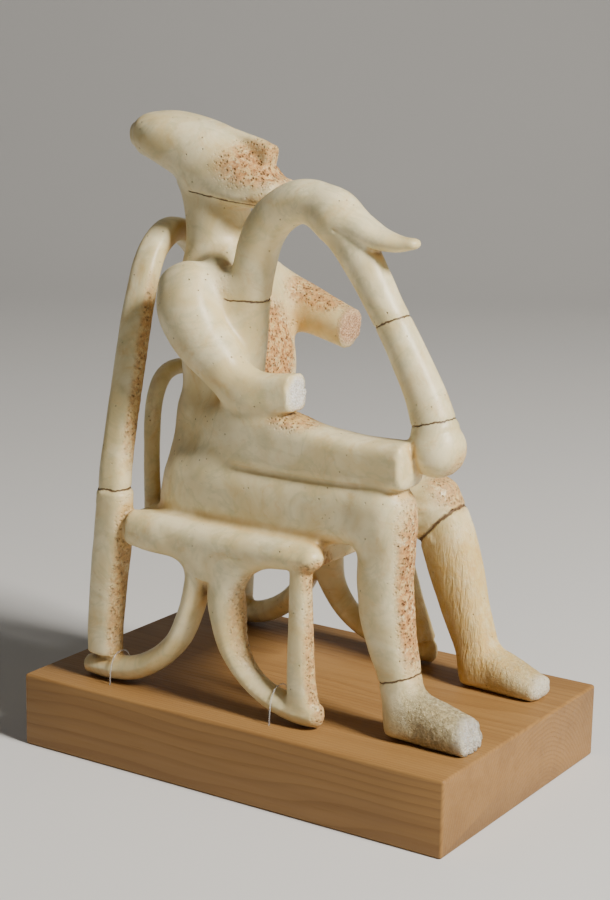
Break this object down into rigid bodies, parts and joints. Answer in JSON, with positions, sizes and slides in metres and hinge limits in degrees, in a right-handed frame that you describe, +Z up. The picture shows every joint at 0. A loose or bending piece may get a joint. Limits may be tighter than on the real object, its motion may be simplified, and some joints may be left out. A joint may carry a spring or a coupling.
{
  "type": "cycladic figurine",
  "caption": "Marble figure of a harp player seated on a high-backed chair, harp on the right thigh, both forearms broken, tied to a wooden block.",
  "frame": {"origin": "centre of the wooden block's underside", "axes": "+Z up; the figure looks along -Y and its right-hand side is at -X"},
  "size_m": [0.125, 0.194, 0.2537],
  "materials": {
    "marble": "worn, softly polished marble with earth crust and stains",
    "wood": "smooth planed wood, oiled",
    "nylon": "clear thin monofilament"
  },
  "bodies": {
    "root": {"harp_player": "marble", "wooden_base": "wood", "nylon_tie_rear": "nylon", "nylon_tie_front": "nylon"}
  },
  "joints": []
}
